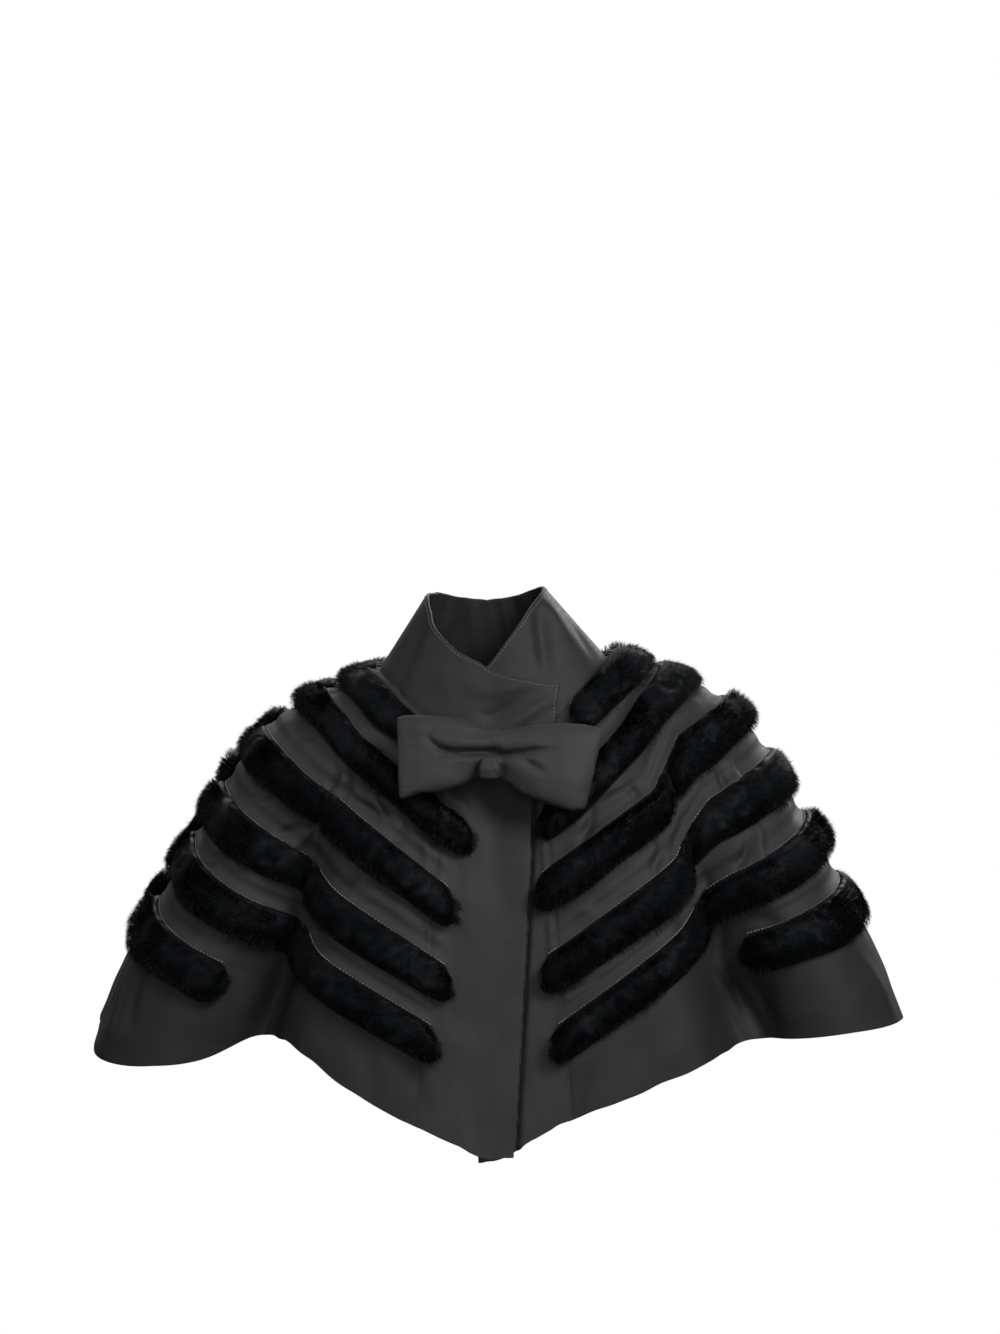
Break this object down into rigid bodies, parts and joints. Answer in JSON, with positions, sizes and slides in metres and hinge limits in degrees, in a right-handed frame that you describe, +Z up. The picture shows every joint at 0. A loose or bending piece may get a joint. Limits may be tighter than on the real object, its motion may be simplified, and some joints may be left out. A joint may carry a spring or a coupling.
{
  "type": "cape",
  "caption": "Short black evening cape in matte satin with rows of plush fur, a crossed funnel collar, an overlapped front and a flat padded bow, held open as worn.",
  "frame": {"origin": "Middle of the neck opening, at the height of the side neck points, where the wearer's shoulders carry the cape.", "axes": "+Z up; the front with the bow faces -Y; +X is the wearer's left, the viewer's right in the picture."},
  "size_m": [0.7071, 0.3692, 0.482],
  "materials": {
    "satin": "matte black satin with a soft sheen",
    "collar_satin": "matte black satin, stiffened, with an edge-stitched rim",
    "bow_satin": "matte black satin over light padding",
    "fur": "dense black plush fur, nap lying downward"
  },
  "bodies": {
    "root": {"placket_right": "satin", "front_right": "satin", "side_right": "satin", "placket_left": "satin", "front_left": "satin", "side_left": "satin", "back": "satin", "collar": "collar_satin", "bow_band": "bow_satin", "bow_knot": "bow_satin", "fur_a_right": "fur", "fur_b_right": "fur", "fur_c_right_front": "fur", "fur_c_right_side": "fur", "fur_d_right_front": "fur", "fur_d_right_side": "fur", "fur_e_right_front": "fur", "fur_e_right_side": "fur", "fur_f_right_side": "fur", "fur_a_left_back": "fur", "fur_b_left_back": "fur", "fur_c_left_front": "fur", "fur_c_left_back": "fur", "fur_d_left_front": "fur", "fur_d_left_back": "fur", "fur_e_left_front": "fur", "fur_e_left_back": "fur", "fur_f_left_back": "fur"}
  },
  "joints": []
}
